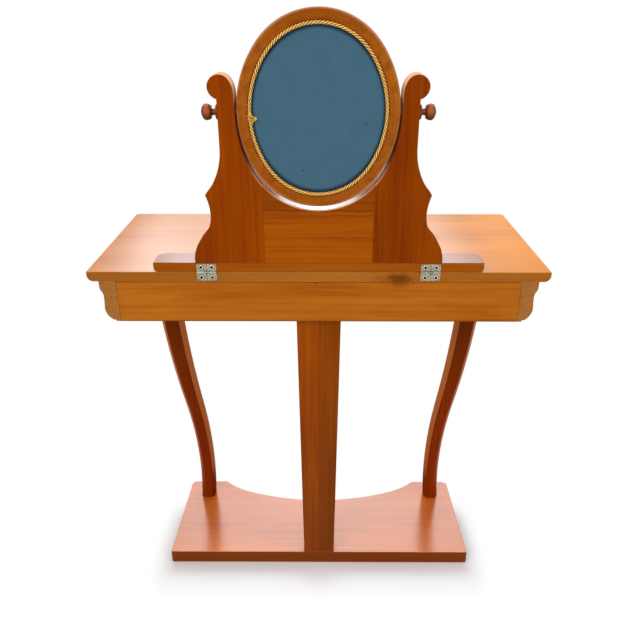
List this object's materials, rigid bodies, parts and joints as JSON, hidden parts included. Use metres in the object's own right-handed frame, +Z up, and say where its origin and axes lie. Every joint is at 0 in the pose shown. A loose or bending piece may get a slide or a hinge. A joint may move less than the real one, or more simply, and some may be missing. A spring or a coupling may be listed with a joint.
{
  "type": "dressing table",
  "caption": "Wooden dressing table with a moulded frieze drawer, bent front legs, a tapering rear post and an oval swing mirror on a fold-back stand.",
  "frame": {"origin": "on the floor, under the middle of the table top", "axes": "+Z up, -Y the side where the sitter sits and the drawer opens, +X the sitter's right"},
  "size_m": [0.9, 0.3948, 1.2475],
  "materials": {
    "honey_wood": "glossy honey-brown varnish",
    "pale_wood": "satin orange-brown varnish",
    "red_wood": "glossy red-brown varnish",
    "end_grain_wood": "dull varnish",
    "plain_wood": "bare planed",
    "nickel": "aged nickel plate",
    "steel": "plain steel",
    "mirror_glass": "silvered, bevelled edge",
    "blue_backing": "thin board under dull blue-grey paper",
    "gold_cord": "gold twisted cord"
  },
  "bodies": {
    "table": {"base_board": "honey_wood", "rear_post_left": "honey_wood", "rear_post_right": "pale_wood", "left_leg": "red_wood", "right_leg": "red_wood", "table_top": "honey_wood", "rear_rail": "pale_wood", "left_side_moulding": "end_grain_wood", "right_side_moulding": "end_grain_wood", "left_bearer": "plain_wood", "right_bearer": "plain_wood", "front_rail": "plain_wood", "left_drawer_guide": "plain_wood", "right_drawer_guide": "plain_wood", "rear_glue_blocks": "plain_wood", "rear_rail_nails": "steel", "left_hinge_table_leaf": "nickel", "right_hinge_table_leaf": "nickel", "left_hinge_pin": "steel", "right_hinge_pin": "steel", "hinge_table_screws": "nickel"},
    "drawer": {"drawer_front": "honey_wood", "drawer_left_side": "plain_wood", "drawer_right_side": "plain_wood", "drawer_back": "plain_wood", "drawer_bottom": "plain_wood", "drawer_left_knob": "red_wood", "drawer_right_knob": "red_wood", "drawer_knob_screws": "steel"},
    "stand": {"stand_board": "honey_wood", "left_upright": "red_wood", "right_upright": "red_wood", "stand_panel": "pale_wood", "stand_dowels": "plain_wood", "left_hinge_stand_leaf": "nickel", "right_hinge_stand_leaf": "nickel", "hinge_stand_screws": "nickel"},
    "mirror": {"mirror_frame": "honey_wood", "mirror_glass": "mirror_glass", "mirror_backing": "blue_backing", "gold_cord": "gold_cord", "cord_knot": "gold_cord", "left_pivot_rod": "steel", "right_pivot_rod": "steel", "left_pivot_washer": "steel", "right_pivot_washer": "steel"},
    "left_knob": {"left_mirror_knob": "red_wood"},
    "right_knob": {"right_mirror_knob": "red_wood"}
  },
  "joints": [
    {"name": "drawer_slide", "type": "slide", "parent": "table", "child": "drawer", "axis": [0, -1, 0], "range_m": [0, 0.2]},
    {"name": "stand_fold", "type": "hinge", "parent": "table", "child": "stand", "pos_m": [0, 0.195, 0.785], "axis": [-1, 0, 0], "range_deg": [0, 135]},
    {"name": "mirror_tilt", "type": "hinge", "parent": "stand", "child": "mirror", "pos_m": [0, 0.1745, 1.08025], "axis": [1, 0, 0], "continuous": true},
    {"name": "left_knob_turn", "type": "hinge", "parent": "mirror", "child": "left_knob", "pos_m": [-0.1758, 0.1745, 1.08025], "axis": [-1, 0, 0], "continuous": true},
    {"name": "right_knob_turn", "type": "hinge", "parent": "mirror", "child": "right_knob", "pos_m": [0.1758, 0.1745, 1.08025], "axis": [1, 0, 0], "continuous": true}
  ]
}
